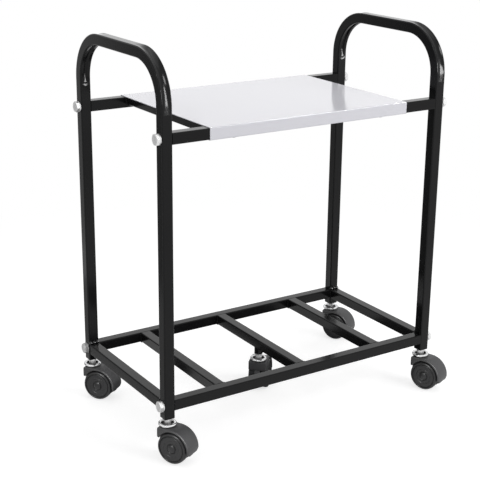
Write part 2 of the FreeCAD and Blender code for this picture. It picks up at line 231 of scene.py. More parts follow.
# %% Make the metals
zinc_plate, shader, place = new_finish(
    "zinc_plate", Metallic=0.7, Specular_Tint=(0.45, 0.45, 0.46, 1))
flake = place.node("ShaderNodeTexVoronoi", {"Vector": place, "Scale": 700.0}, 1)
mottle = noise(flake, 1.7, 0)
haze = noise(place, 240, 3)
connect(
    shader,
    Base_Color=mixed(mottle, (0.70, 0.70, 0.70), (0.84, 0.84, 0.84)),
    Roughness=0.28 + 0.14 * haze,
    Normal=bump(haze, 0.03 * MM),
)
chrome_plate, shader, place = new_finish("chrome_plate", Specular_Tint=(0.30, 0.30, 0.31, 1))
smear = noise(place, 150, 3)
dish = painted(place, "tread")
connect(
    shader,
    Base_Color=mixed(dish, (0.74, 0.742, 0.746), (0.022, 0.021, 0.020)),
    Roughness=0.08 + 0.10 * smear + 0.32 * dish,
    Metallic=1.0 - dish,
    Normal=bump(smear, 0.01 * MM),
)
plain_steel, shader, place = new_finish("plain_steel", Metallic=1.0)
drawn = noise(place, 900, 2)
connect(
    shader,
    Base_Color=mixed(drawn, (0.36, 0.36, 0.37), (0.46, 0.46, 0.47)),
    Roughness=0.35 + 0.12 * drawn,
    Normal=bump(drawn, 0.02 * MM),
)
print(zinc_plate.name, chrome_plate.name, plain_steel.name)

# %% [markdown]
# ## Moulded plastic of the casters
# Hood and wheels are nylon. The mould of the hood is spark-eroded, which leaves an even fine
# grain. The wheels are smoother on their faces, and duller on the tread, which rolls on the
# floor. A point attribute named `tread`, painted when the wheel is turned, tells the two apart.

# %% Make the plastics
hood_plastic, shader, place = new_finish("hood_plastic")
spark = noise(place, 3200, 2)
flow = noise(place, 40, 2)
connect(
    shader,
    Base_Color=mixed(flow, (0.034, 0.034, 0.036), (0.046, 0.046, 0.048)),
    Roughness=0.46 + 0.10 * spark,
    Normal=bump(spark, 0.05 * MM),
)
wheel_plastic, shader, place = new_finish("wheel_plastic", Specular_IOR_Level=0.35)
tread = painted(place, "tread")
spark = noise(place, 2400, 2)
scuff = noise(place, 210, 4)
connect(
    shader,
    Base_Color=mixed(tread, (0.026, 0.026, 0.027), (0.017, 0.017, 0.018)),
    Roughness=0.32 + 0.08 * spark + tread * (0.20 + 0.12 * scuff),
    Normal=bump(spark + tread * scuff, 0.05 * MM),
)
print(hood_plastic.name, wheel_plastic.name)

# %% [markdown]
# ## Finish for every CAD node
# The record names a material slot for each node, so the finishes made above are handed out by
# that slot's name. Nodes that are replaced further down get theirs here too.

# %% Hand out the finishes
for subpart in frame["record"]["subparts"]:
    slots = nodes[subpart["node"]].data.materials
    slots.clear()
    slots.append(finishes[subpart["material_slot"]])
print(len(nodes), "nodes finished")

# %% [markdown]
# ## Turned pieces
# Wheels and swivel rings are bodies of revolution. A lathe made of bmesh rows keeps full control:
# each point of the profile becomes one ring of vertices about the axle or the stem, points on
# the axis become one vertex, and the last row joins the first, because each profile is a loop.
# Profiles are drawn in millimetres. Each point has a radius, a height, a mark of 0 or 1 for the
# finish, and the radius by which its corner is rounded.

# %% From rows of vertices to a piece


def add_object(name, data):
    """A new object in the scene."""
    made = bpy.data.objects.new(name, data)
    bpy.context.scene.collection.objects.link(made)
    return made


def join_rows(work, here, there):
    """Faces between two rings of vertices. A ring of one vertex is a point on the axis."""
    steps = max(len(here), len(there))
    for step in range(steps):
        after = (step + 1) % steps
        corners = dict.fromkeys((here[step % len(here)], here[after % len(here)],
                                 there[after % len(there)], there[step % len(there)]))
        if len(corners) > 2:
            work.faces.new(list(corners))


def mesh_from(work, name, sharp, smooth=True):
    """Mesh of a bmesh, with edges that are sharp from an angle in degrees."""
    bmesh.ops.recalc_face_normals(work, faces=work.faces)
    mesh = bpy.data.meshes.new(name)
    work.to_mesh(mesh)
    work.free()
    if smooth:
        mesh.shade_smooth()
    mesh.set_sharp_from_angle(angle=math.radians(sharp))
    return mesh


def stand_in(mesh, body, slot, node):
    """Piece with the mesh's name, which takes the place of a CAD node."""
    mesh.materials.append(finishes[slot])
    piece = add_object(mesh.name, mesh)
    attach(piece, body)
    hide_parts(node)


print("rows can be joined")

# %% A lathe
TURN_STEPS = 96
TURNED_SHARP = 32
ON_AXIS = 1e-7
CORNER_SHARE = 0.48


def turned(name, profile, centre, axis, body, slot, node):
    """Body of revolution of (radius, height, tread) points, in place of a CAD node."""
    axis = Vector(axis).normalized()
    side = axis.orthogonal().normalized()
    up = axis.cross(side)
    work = bmesh.new()
    tread_layer = work.verts.layers.float.new("tread")
    rows = []
    for radius, height, mark in profile:
        row = []
        for step in range(TURN_STEPS if radius > ON_AXIS else 1):
            angle = 2 * math.pi * step / TURN_STEPS
            spoke = side * math.cos(angle) + up * math.sin(angle)
            vert = work.verts.new(Vector(centre) + axis * height + spoke * radius)
            vert[tread_layer] = mark
            row.append(vert)
        rows.append(row)
    for here, there in zip(rows, rows[1:] + rows[:1]):
        join_rows(work, here, there)
    stand_in(mesh_from(work, name, TURNED_SHARP), body, slot, node)


def rounded(points, steps=5):
    """Profile of (r, h, mark, radius) points, in which each corner with a radius is rounded."""
    out = []
    for index, (r, h, mark, radius) in enumerate(points):
        if not radius:
            out.append((r, h, mark))
            continue
        here = Vector((r, h))
        before = Vector(points[index - 1][:2]) - here
        after = Vector(points[(index + 1) % len(points)][:2]) - here
        reach = min(radius, CORNER_SHARE * before.length, CORNER_SHARE * after.length)
        start = here + before.normalized() * reach
        end = here + after.normalized() * reach
        for step in range(steps + 1):
            t = step / steps
            point = start * (1 - t) ** 2 + here * 2 * t * (1 - t) + end * t ** 2
            out.append((point.x, point.y, mark))
    return out


def in_metres(profile, lift):
    """A profile drawn in millimetres, turned into metres and moved along its axis."""
    return [(r * MM, (h + lift) * MM, mark) for r, h, mark in profile]


print("lathe ready")

# %% [markdown]
# ## Wheels
# Each caster has two wheels on one axle. The outer face of a wheel has a ring groove near its rim,
# a shallow dish, and a domed cap over the hub. The tread is a little crowned, and its outer
# shoulder is well rounded. The inner side is hollow, as moulded wheels are.

# %% Turn the wheels
WHEEL_R = joints[places[0] + "_left_roll"]["pos_m"][2] / MM
WHEEL_INSIDE = 5.6
wheel_profile = in_metres(rounded([
    (3.05, 0, 0, 0), (7.0, 0, 0, 0.4), (7.0, 8.0, 0, 0.8), (WHEEL_R - 4.0, 8.0, 0, 0.8),
    (WHEEL_R - 3.5, 0, 0, 0.5), (WHEEL_R - 1.0, 0, 0, 0.4), (WHEEL_R - 0.15, 1.0, 1, 0.5),
    (WHEEL_R, 4.5, 1, 1.5), (WHEEL_R - 0.1, 9.0, 1, 1.5), (WHEEL_R - 0.9, 11.0, 0, 0.9),
    (WHEEL_R - 2.6, 12.1, 0, 1.2), (23.6, 11.9, 0, 0.5), (22.9, 10.2, 0, 0.4), (22.2, 10.2, 0, 0.4),
    (21.4, 11.6, 0, 0.6), (15.4, 11.2, 0, 0.5), (14.8, 10.7, 0, 0.3), (14.0, 10.7, 0, 0.3),
    (13.4, 11.1, 0, 0.4), (9.0, 10.8, 0, 0.5), (8.4, 9.8, 0, 0.3), (7.7, 9.8, 0, 0.3),
    (7.0, 11.5, 0, 0.6), (5.2, 12.7, 0, 1.4), (2.6, 13.25, 0, 1.2),
    (0, 13.35, 0, 0), (0, 10.0, 0, 0), (3.05, 10.0, 0, 0),
]), WHEEL_INSIDE)
for place_name in places:
    for side, outward in (("left", 1), ("right", -1)):
        joint = joints[place_name + "_" + side + "_roll"]
        axis = Vector(joint["axis"]) * outward
        node = place_name + "_wheel_" + side
        turned(node + "_turned", wheel_profile, joint["pos_m"], axis, node, "wheel_plastic", node)
print(2 * len(places), "wheels turned")

# %% [markdown]
# ## Swivel rings
# A chromed ring sits on the hood, round the stem. It is pressed from sheet: a fat round rim that
# falls into a dish in the middle, where the collar of the stem turns.

# %% Turn the swivel rings
RING_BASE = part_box(places[0] + "_swivel_ring")[0].z / MM
ring_profile = in_metres(rounded([
    (4.0, 0, 0, 0), (12.4, 0, 0, 0.3), (12.4, 1.0, 0, 0.4), (15.0, 1.0, 0, 1.0),
    (16.0, 3.1, 0, 1.6), (15.2, 5.3, 0, 1.4), (13.0, 6.0, 0, 1.5), (10.9, 5.2, 0, 0.8),
    (10.4, 3.9, 1, 0), (9.7, 2.1, 1, 0.8), (4.0, 1.8, 1, 0),
], 6), RING_BASE)
for place_name in places:
    x, y, _ = joints[place_name + "_swivel"]["pos_m"]
    turned(place_name + "_ring_turned", ring_profile, (x, y, 0), (0, 0, 1),
           place_name + "_caster", "chrome_plate", place_name + "_swivel_ring")
print(len(places), "rings turned")

# %% [markdown]
# ## Caster hoods
# A hood is one moulding: a blunt nose under the ring, a fender that follows the wheels, and a web
# between them. Moulded edges are never sharp, and a rounded edge catches a line of light. So the
# side view of the fender is drawn once, in millimetres from the stem's foot, then set across the
# width in rows that shrink towards both sides, as a quarter circle does. Each point says how much
# of that it takes part in. Towards the tail's end the rows also get narrower.

# %% Draw the side view
TRAIL = 17.5
HOOD_R, HOOD_TOP, HOOD_HALF = 33.5, 61.0, 17.0
NOSE_LEAD, NOSE_FOOT = -11.0, 42.8
POCKET_R, POCKET_STEP, POCKET_TURN, POCKET_END = 30.0, 1.5, 110, 148
TAIL_ANGLE, TAIL_BEVEL = -12.0, 5.0
FULL, SOME, LITTLE = 1, 0.3, 0.2


def round_axle(radius, angle):
    """Point of the side view, at an angle in degrees about the axle."""
    turn = math.radians(angle)
    return TRAIL + radius * math.cos(turn), WHEEL_R + radius * math.sin(turn)


def pocket(angle):
    """Point of the pocket's wall, which comes closer to the wheel towards the nose."""
    closer = max(0, angle - POCKET_TURN) / (POCKET_END - POCKET_TURN)
    return round_axle(POCKET_R - POCKET_STEP * closer, angle)


fender = [(NOSE_LEAD, NOSE_FOOT, FULL, 2.6), (NOSE_LEAD, HOOD_TOP, FULL, 4.0)]
fender += [(*round_axle(HOOD_R, angle), FULL, 0) for angle in range(90, -11, -4)]
fender += [(*round_axle(HOOD_R, TAIL_ANGLE), SOME, 0.9), (*pocket(TAIL_ANGLE), LITTLE, 0.6)]
fender += [(*pocket(angle), LITTLE, 0) for angle in range(-8, POCKET_END, 4)]
fender += [(*pocket(POCKET_END), LITTLE, 1.6)]
fender = rounded(fender, 6)
web = [(*round_axle(POCKET_R + 1, angle), LITTLE) for angle in range(-22, 203, 5)]
print("side view of", len(fender), "points")

# %% Set it across the width
HOOD_SHARP, EDGE_STEPS = 40, 5
FENDER_EDGE, WEB_HALF, WEB_EDGE = 1.7, 5.0, 0.3
NO_TAIL = -100


def moulded(outline, half, edge, tail):
    """Rows of an outline across a width, with rounded edges, and narrower below the tail's top."""
    rows = [(-half + edge * (1 - math.cos(a)), edge * (1 - math.sin(a)))
            for a in (math.pi / 2 * k / EDGE_STEPS for k in range(EDGE_STEPS + 1))]
    rows += [(-y, inset) for y, inset in reversed(rows)]
    points, faces, count = [], [], len(outline)
    for y, inset in rows:
        for k, (x, z, share) in enumerate(outline):
            along = Vector(outline[(k + 1) % count][:2]) - Vector(outline[k - 1][:2])
            inward = Vector((along.y, -along.x)).normalized() * inset * share
            width = 1 - max(0.0, tail - z) / half if x > TRAIL else 1
            points.append((x + inward.x, y * width, z + inward.y))
    for row in range(len(rows) - 1):
        for k in range(count):
            a, b = row * count + k, row * count + (k + 1) % count
            faces.append((a, b, b + count, a + count))
    last = len(points) - count
    for a, b, c in tessellate_polygon([[Vector((x, z, 0)) for x, y, z in points[:count]]]):
        faces += [(a, b, c), (last + c, last + b, last + a)]
    return points, faces


tail_top = round_axle(HOOD_R, TAIL_ANGLE)[1] + TAIL_BEVEL
shapes = [moulded(fender, HOOD_HALF, FENDER_EDGE, tail_top),
          moulded(web, WEB_HALF, WEB_EDGE, NO_TAIL)]
for place_name in places:
    stem = joints[place_name + "_swivel"]["pos_m"]
    axle = joints[place_name + "_left_roll"]["pos_m"]
    foot = Vector((stem[0], stem[1], 0))
    ahead = Vector((axle[0] - stem[0], axle[1] - stem[1], 0)).normalized()
    aside = Vector((-ahead.y, ahead.x, 0))
    work = bmesh.new()
    for points, faces in shapes:
        corners = [work.verts.new(foot + (ahead * x + aside * y) * MM + Vector((0, 0, z * MM)))
                   for x, y, z in points]
        for face in faces:
            work.faces.new([corners[k] for k in face])
    stand_in(mesh_from(work, place_name + "_hood_moulded", HOOD_SHARP),
             place_name + "_caster", "hood_plastic", place_name + "_hood")
print(len(places), "hoods moulded")

# %% [markdown]
# ## Geometry Nodes for what follows a rule
# The bent side frames, the bolts and the weld beads all follow a rule: a profile along a path, or
# one small shape repeated. Geometry Nodes do that well. `tree_with` starts a tree with named
# inputs, `close` ends it, and `grown` puts it on a mesh of points or edges, reads the result back
# as a plain mesh and drops the modifier, because an exporter has no instances. In Python an
# underscore stands for the space in an input's name.

# %% Helpers for node trees


def tree_with(name, **inputs):
    """An empty Geometry Nodes tree, and its named inputs as values."""
    tree = bpy.data.node_groups.new(name, "GeometryNodeTree")
    inputs = {"Geometry": "Geometry", **inputs, "Finish": "Material"}
    for key, kind in inputs.items():
        tree.interface.new_socket(
            key.replace("_", " "), in_out="INPUT", socket_type="NodeSocket" + kind)
    tree.interface.new_socket("Geometry", in_out="OUTPUT", socket_type="NodeSocketGeometry")
    source = tree.nodes.new("NodeGroupInput")
    return tree, {key: Value(tree, source.outputs[key.replace("_", " ")]) for key in inputs}


def as_curve(mesh):
    return mesh.node("GeometryNodeMeshToCurve", {"Mesh": mesh})


def smoothed(geometry):
    return geometry.node("GeometryNodeSetShadeSmooth", {"Geometry": geometry})


def close(tree, geometry, finish):
    """Ends a tree: real geometry, in one material."""
    real = geometry.node("GeometryNodeRealizeInstances", {0: geometry})
    done = geometry.node("GeometryNodeSetMaterial", {"Geometry": real, "Material": finish})
    tree.links.new(done.socket, tree.nodes.new("NodeGroupOutput").inputs[0])


def grown(name, verts, edges, tree, body, slot, **sizes):
    """Runs a tree on a mesh of points and edges, and keeps the result as a plain mesh."""
    seed = bpy.data.meshes.new(name + "_seed")
    seed.from_pydata(verts, edges, [])
    piece = add_object(name, seed)
    modifier = piece.modifiers.new("grow", "NODES")
    modifier.node_group = tree
    sizes["Finish"] = finishes[slot]
    for item in tree.interface.items_tree:
        key = item.name.replace(" ", "_")
        if item.in_out == "INPUT" and key in sizes:
            modifier[item.identifier] = sizes[key]
    result = piece.evaluated_get(bpy.context.evaluated_depsgraph_get())
    solid = bpy.data.meshes.new_from_object(result)
    piece.modifiers.clear()
    piece.data = solid
    solid.name = name
    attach(piece, body)
    print(name, len(solid.polygons), "faces")
    return piece


print("tree helpers ready")

# %% [markdown]
# ## Bent side frames
# Each side frame is one square tube, bent cold into an upside-down U. Bending a square tube
# crushes its walls: the inside of the bend folds into a deep crease, in a shallow dish with a
# rounded end, and the outside sinks into a long hollow that catches a streak of light. Sweeping a
# rounded square along the bent path gives the tube, and one sum on the position of each point
# gives the dents: how far the point is across the tube, how far round the bend, and on which
# wall. Across the tube and through its walls, distances are counted in halves of its width.

# %% Describe the bent tube
CORNER, BEND_RADIUS = 2.0 * MM, 75.0 * MM
FLAT_STEPS, ARC_STEPS = 24, 4
DENT_REACH = 18
tube_low, tube_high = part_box("left_side_frame")
TUBE = tube_high.x - tube_low.x
LEG_FRONT, LEG_BACK = tube_low.y + TUBE / 2, tube_high.y - TUBE / 2
BEND_Z = tube_high.z - TUBE / 2 - BEND_RADIUS
FRAME_Y = (LEG_FRONT + LEG_BACK) / 2
BEND_Y = LEG_BACK - BEND_RADIUS - FRAME_Y


def handle_path(x):
    """Points up one leg, round both bends and down the other leg, closer where it is dented."""
    near = [k * MM for k in range(DENT_REACH, 0, -1)]
    turns = list(range(11)) + [12.5 + 2.5 * k for k in range(27)] + list(range(80, 91))
    half = [(BEND_Y + BEND_RADIUS, tube_low.z)]
    half += [(BEND_Y + BEND_RADIUS, BEND_Z - gap) for gap in near]
    for angle in map(math.radians, turns):
        half.append((BEND_Y + BEND_RADIUS * math.cos(angle),
                     BEND_Z + BEND_RADIUS * math.sin(angle)))
    half += [(BEND_Y - gap, BEND_Z + BEND_RADIUS) for gap in reversed(near)]
    front = [(x, FRAME_Y - y, z) for y, z in half]
    back = [(x, FRAME_Y + y, z) for y, z in reversed(half)]
    return front + back


def rounded_square():
    """Outline of the tube, with enough points on each flat for the dents to be smooth."""
    flat = TUBE / 2 - CORNER
    outline = []
    for quarter in range(4):
        turn = Matrix.Rotation(math.pi / 2 * quarter, 2)
        side = [(TUBE / 2, flat * (2 * k / FLAT_STEPS - 1)) for k in range(FLAT_STEPS)]
        arc = [(flat + CORNER * math.cos(a), flat + CORNER * math.sin(a))
               for a in (math.pi / 2 * k / ARC_STEPS for k in range(ARC_STEPS))]
        outline += [turn @ Vector(point) for point in side + arc]
    return outline


outline = rounded_square()
outline_mesh = bpy.data.meshes.new("tube_outline")
outline_mesh.from_pydata([(v.x, v.y, 0) for v in outline],
                         [(k, (k + 1) % len(outline)) for k in range(len(outline))], [])
outline_source = add_object("tube_outline", outline_mesh)
print("outline of", len(outline), "points, path of", len(handle_path(0)))

# %% Where a point of the tube is
tube_tree, given = tree_with(
    "bent_square_tube", Outline="Object", Middle="Vector", Bend_Y="Float", Bend_Radius="Float",
    Half_Tube="Float", Crease="Float", Dish="Float", Hollow="Float")
path = as_curve(given["Geometry"])
section = as_curve(path.node("GeometryNodeObjectInfo", {"Object": given["Outline"]}, "Geometry"))
tube = path.node("GeometryNodeCurveToMesh", {
    "Curve": path, "Profile Curve": section, "Fill Caps": True})
WALL = 0.7


def at_least(value, floor):
    return value.math("MAXIMUM", value, floor)


spot = path.node("ShaderNodeVectorMath",
                 {0: path.node("GeometryNodeInputPosition"), 1: given["Middle"]},
                 operation="SUBTRACT")
spot_x, spot_y, up = spot.parts()
across = spot_x / given["Half_Tube"]
out = path.math("ABSOLUTE", spot_y) - given["Bend_Y"]
out_arm, up_arm = at_least(out, 0.0), at_least(up, 0.0)
radius = at_least(path.math("SQRT", out_arm * out_arm + up_arm * up_arm), 0.1 * MM)
wall = (radius - given["Bend_Radius"]) / given["Half_Tube"]
inside = path.math("LESS_THAN", wall, -WALL)
outside = path.math("GREATER_THAN", wall, WALL)
print("tube swept")

# %% Dent it
CREASE_LANE, DISH_LANE, HOLLOW_LANE = 0.13, 0.66, 0.72
SMILE = 5 * MM


def both_ends(start, end):
    """1 all round the bend, falling to 0 past both of its ends."""
    rise_up, rise_out = (
        reach.node("ShaderNodeMapRange", {"Value": reach, "From Min": start, "From Max": end})
        for reach in (up, out))
    return rise_up * rise_out


lane = across * across
narrow, wide = lane / CREASE_LANE, lane / DISH_LANE
smile = SMILE * wide
fold = 0.33 * both_ends(-6.5 * MM, -0.9 * MM) + 0.67 * both_ends(-0.9 * MM, 8.0 * MM)
crease = at_least(1.0 - narrow, 0.0) * fold * given["Crease"]
dish_end = both_ends(smile - 12.8 * MM, smile - 10.0 * MM)
dish = at_least(1.0 - wide * wide, 0.0) * dish_end * given["Dish"]
broad = at_least(1.0 - lane / HOLLOW_LANE, 0.0)
hollow = broad * both_ends(-12 * MM, 24 * MM) * given["Hollow"]
push = ((crease + dish) * inside - hollow * outside) / radius
facing = path.math("SIGN", spot_y)
shove = path.node("ShaderNodeCombineXYZ", {"Y": out_arm * facing * push, "Z": up_arm * push})
dented = path.node("GeometryNodeSetPosition", {"Geometry": tube, "Offset": shove})
close(tube_tree, smoothed(dented), given["Finish"])
print("dents described")

# %% Sweep both side frames
TUBE_SHARP = 50
for side in ("left", "right"):
    low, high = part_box(side + "_side_frame")
    middle_x = (low.x + high.x) / 2
    points = handle_path(middle_x)
    frame_tube = grown(side + "_bent_tube", points, [(k, k + 1) for k in range(len(points) - 1)],
                       tube_tree, "frame", "black_powder_coat", Outline=outline_source,
                       Middle=(middle_x, FRAME_Y, BEND_Z), Bend_Y=BEND_Y, Bend_Radius=BEND_RADIUS,
                       Half_Tube=TUBE / 2, Crease=2.9 * MM, Dish=0.47 * MM, Hollow=2.8 * MM)
    frame_tube.data.set_sharp_from_angle(angle=math.radians(TUBE_SHARP))
    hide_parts(side + "_side_frame")
bpy.data.objects.remove(outline_source)

# %% [markdown]
# ## Hex bolts with washers
# A bolt goes through each leg into the end of a long rail. A real hex head is a hexagon turned
# down to a cone at its crown, so each flat ends in an arc. That shape is worked out angle by
# angle: the crown drops where the hexagon sticks out past the cone. The heads stop at any angle
# when they are tightened, so the tree turns each one by a seeded random angle.

# %% Shape one bolt
HEAD_STEPS, BOLT_SHARP = 72, 25
HEAD_FLATS, HEAD_HEIGHT = 17.0 * MM, 6.4 * MM
WASHER_R, WASHER, WASHER_EDGE = 9.0 * MM, 1.6 * MM, 0.3 * MM
SHANK_R, SHANK_LENGTH, SHANK_TIP = 5.0 * MM, 35.0 * MM, 1.0 * MM
SEAT_R, SEAT = HEAD_FLATS / 2 * 0.94, 0.5 * MM
CONE_R, CONE_ANGLE = HEAD_FLATS / 2 * 0.96, math.radians(30)
CROWN_R, SINK_R, SINK = CONE_R * 0.9, CONE_R * 0.85, 0.25 * MM


def bolt_shape():
    """Shank, washer and hex head along +Z, with the washer on the plane of the leg."""
    work = bmesh.new()
    head_top = WASHER + HEAD_HEIGHT
    rows = []

    def row(radius_at, height_at):
        rows.append([
            work.verts.new((radius_at(a) * math.cos(a), radius_at(a) * math.sin(a), height_at(a)))
            for a in (2 * math.pi * k / HEAD_STEPS for k in range(HEAD_STEPS))])

    def round_rows(*sizes):
        for radius, height in sizes:
            row(lambda a: radius, lambda a: height)

    def hexagon(a):
        return HEAD_FLATS / 2 / math.cos((a % (math.pi / 3)) - math.pi / 6)

    def crown(a):
        return head_top - max(0.0, hexagon(a) - CONE_R) * math.tan(CONE_ANGLE)

    round_rows(
        (SHANK_R - SHANK_TIP, -SHANK_LENGTH), (SHANK_R, SHANK_TIP - SHANK_LENGTH), (SHANK_R, 0),
        (WASHER_R - WASHER_EDGE, 0), (WASHER_R, WASHER_EDGE), (WASHER_R, WASHER - WASHER_EDGE),
        (WASHER_R - WASHER_EDGE, WASHER), (SEAT_R, WASHER), (SEAT_R, WASHER + SEAT))
    row(hexagon, lambda a: WASHER + SEAT)
    row(hexagon, crown)
    round_rows((CONE_R, head_top), (CROWN_R, head_top), (SINK_R, head_top - SINK))
    for here, there in zip(rows, rows[1:]):
        join_rows(work, here, there)
    work.faces.new(rows[-1])
    work.faces.new(rows[0][::-1])
    return mesh_from(work, "bolt_shape", BOLT_SHARP, smooth=False)


bolt_source = add_object("bolt_shape", bolt_shape())
print("bolt faces:", len(bolt_source.data.polygons))

# %% Set a bolt at each rail end
bolt_tree, given = tree_with("bolts_at_points", Bolt="Object", Seed="Int")
points = given["Geometry"]
source = points.node("GeometryNodeObjectInfo", {"Object": given["Bolt"]}, "Geometry")
spin = points.node("FunctionNodeRandomValue", {3: math.pi / 3, "Seed": given["Seed"]}, 1)
bolt_x = points.node("GeometryNodeInputPosition").parts()[0]
lean = points.math("SIGN", bolt_x) * (math.pi / 2)


def rotation(**angle):
    """Rotation by an angle about one axis."""
    euler = points.node("ShaderNodeCombineXYZ", angle)
    return points.node("FunctionNodeEulerToRotation", {0: euler})


turn = points.node("FunctionNodeRotateRotation",
                   {"Rotation": rotation(Y=lean), "Rotate By": rotation(Z=spin)},
                   rotation_space="LOCAL")
bolts = points.node("GeometryNodeInstanceOnPoints", {
    "Points": points, "Instance": source, "Rotation": turn})
close(bolt_tree, bolts, given["Finish"])

SEEDS = {"lower": 4, "upper": 11}
left_frame, right_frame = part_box("left_side_frame"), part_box("right_side_frame")
leg_front = (left_frame[0].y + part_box("lower_front_rail")[1].y) / 2
leg_back = (left_frame[1].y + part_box("lower_back_rail")[0].y) / 2
for level, seed in SEEDS.items():
    low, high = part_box(level + "_bolts")
    spots = [(x, y, (low.z + high.z) / 2)
             for x in (left_frame[0].x, right_frame[1].x) for y in (leg_front, leg_back)]
    heads = grown(level + "_bolt_heads", spots, [], bolt_tree, "frame", "zinc_plate",
                  Bolt=bolt_source, Seed=seed)
    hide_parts(level + "_bolts", *(["bolt_washers"] if level == "upper" else []))
bpy.data.objects.remove(bolt_source)

# %% [markdown]
# ## Weld beads
# The slats, end rails and shelf cross-members are welded to their neighbours before the frame is
# coated, so each joint shows a rippled black bead. A bead is a row of flat drops, each laid on
# the last: the tree turns the joint's edges into a path, sets points along it a little closer
# than a drop is long, and lays a drop along the path at each point. The welds on top of the end
# rails are the coarse ones: a few fat drops, which catch the light one by one.

# %% Describe a bead
bead_tree, given = tree_with("bead_along_path", Pitch="Float", Drop="Vector", Gloss="Float")
path = as_curve(given["Geometry"])
points = path.node("GeometryNodeCurveToPoints",
                   {"Curve": path, "Length": given["Pitch"]}, mode="LENGTH")
drop = path.node("GeometryNodeMeshUVSphere", {"Segments": 10, "Rings": 6, "Radius": 1.0})
marked = path.node("GeometryNodeStoreNamedAttribute", {
    "Geometry": drop, "Name": "weld", "Value": given["Gloss"]})
drops = path.node("GeometryNodeInstanceOnPoints", {
    "Points": points, "Instance": smoothed(marked), "Rotation": points.other("Rotation"),
    "Scale": given["Drop"]})
close(bead_tree, drops, given["Finish"])


def lay_beads(name, joins, **sizes):
    """Beads along straight joins, each given by its two ends."""
    verts = [end for join in joins for end in join]
    edges = [(k, k + 1) for k in range(0, len(verts), 2)]
    grown(name, verts, edges, bead_tree, "frame", "black_powder_coat", **sizes)


print("bead described")

# %% Lay the weld beads
INSET, COARSE_INSET, COARSE_LIFT = 1.2 * MM, 3 * MM, 2 * MM
END_RAILS = ("left_end_rail", "right_end_rail")
CROSS_BARS = ("left_slat", "middle_slat", "right_slat", "left_shelf_cross", "right_shelf_cross")
fine, coarse = [], []
for bar in CROSS_BARS + END_RAILS:
    low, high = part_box(bar)
    for y in (low.y, high.y):
        for x in (low.x, high.x):
            fine.append(((x, y, low.z + INSET), (x, y, high.z - INSET)))
        fine.append(((low.x + INSET, y, low.z), (high.x - INSET, y, low.z)))
        if bar in END_RAILS:
            top = high.z + COARSE_LIFT
            coarse.append(((low.x + COARSE_INSET, y, top), (high.x - COARSE_INSET, y, top)))
lay_beads("weld_beads", fine,
          Pitch=1.5 * MM, Drop=(1.5 * MM, 1.5 * MM, 1.3 * MM), Gloss=0.0)
lay_beads("coarse_weld_beads", coarse,
          Pitch=6.4 * MM, Drop=(3.8 * MM, 3.6 * MM, 3.4 * MM), Gloss=1.0)

# %% [markdown]
# ## Floor and white surround
# The trolley stands on white. The floor is a pale sheet that takes the shadow near the wheels and
# fades to plain white further out, so that it has no visible edge. The world is white to the
# camera and in reflections, and a soft grey as light, so that the colours come out as written.

# %% Helpers for the studio


def directly_seen(tree):
    """1 for rays from the camera and from mirrors, 0 for rays that gather soft light."""
    rays = tree.nodes.new("ShaderNodeLightPath").outputs
    camera, glossy, through = (Value(tree, rays["Is %s Ray" % kind])
                               for kind in ("Camera", "Glossy", "Transmission"))
    return camera + glossy + through


def stage_sheets(name, corners, shade):
    """Staging of four-cornered sheets, whose surface is what `shade` makes in their node tree."""
    mesh = bpy.data.meshes.new(name)
    mesh.from_pydata(corners, [], [range(k, k + 4) for k in range(0, len(corners), 4)])
    sheets = add_object(name, mesh)
    material = bpy.data.materials.new(name + "_surface")
    material.use_nodes = True
    tree = material.node_tree
    tree.nodes.remove(tree.nodes["Principled BSDF"])
    surface = shade(Value(tree).node("ShaderNodeTexCoord", out=3))
    tree.links.new(surface.socket, tree.nodes["Material Output"].inputs["Surface"])
    mesh.materials.append(material)
    return sheets


def flat_sheet(x_low, x_high, y_low, y_high, z):
    """Corners of a level sheet that faces up."""
    return [(x_low, y_low, z), (x_high, y_low, z), (x_high, y_high, z), (x_low, y_high, z)]


print("studio helpers ready")

# %% Lay the floor and set the world
FLOOR_HALF = 9
GAP = 0.5 * MM
FADE_START, FADE_END = 0.5, 1.3
MATT, SHADOW, GLOW = 0.8, 0.50, 0.69
SOFT_LIGHT, WHITE = 0.55, 1.0


def pale_floor(spot):
    """Matt for light; for the eye a shadow catcher that fades to white."""
    away = spot.node("ShaderNodeVectorMath", {0: spot}, 1, operation="LENGTH")
    near = spot.node("ShaderNodeMapRange", {
        "Value": away, "From Min": FADE_START, "From Max": FADE_END, "To Min": 1.0, "To Max": 0.0,
    }, interpolation_type="SMOOTHSTEP")
    matt = spot.node("ShaderNodeBsdfDiffuse", {"Color": (MATT, MATT, MATT, 1)})
    shadow = spot.node("ShaderNodeBsdfDiffuse", {"Color": (SHADOW, SHADOW, SHADOW, 1)})
    glow = spot.node("ShaderNodeEmission", {"Strength": GLOW})
    white = spot.node("ShaderNodeEmission", {"Strength": WHITE})
    lit = spot.node("ShaderNodeAddShader", {0: shadow, 1: glow})
    fading = spot.node("ShaderNodeMixShader", {0: near, 1: white, 2: lit})
    return spot.node("ShaderNodeMixShader", {0: directly_seen(spot.tree), 1: matt, 2: fading})


floor_sheet = flat_sheet(-FLOOR_HALF, FLOOR_HALF, -FLOOR_HALF, FLOOR_HALF, -GAP)
stage_sheets("floor", floor_sheet, pale_floor)
world = bpy.data.worlds.new("white_surround")
bpy.context.scene.world = world
world.use_nodes = True
tree = world.node_tree
seen = directly_seen(tree)
light, surround = (seen.node("ShaderNodeBackground", {"Color": (1, 1, 1, 1), "Strength": strength})
                   for strength in (SOFT_LIGHT, WHITE))
both = seen.node("ShaderNodeMixShader", {0: seen, 1: light, 2: surround})
tree.links.new(both.socket, tree.nodes["World Output"].inputs["Surface"])
print("floor and world set")

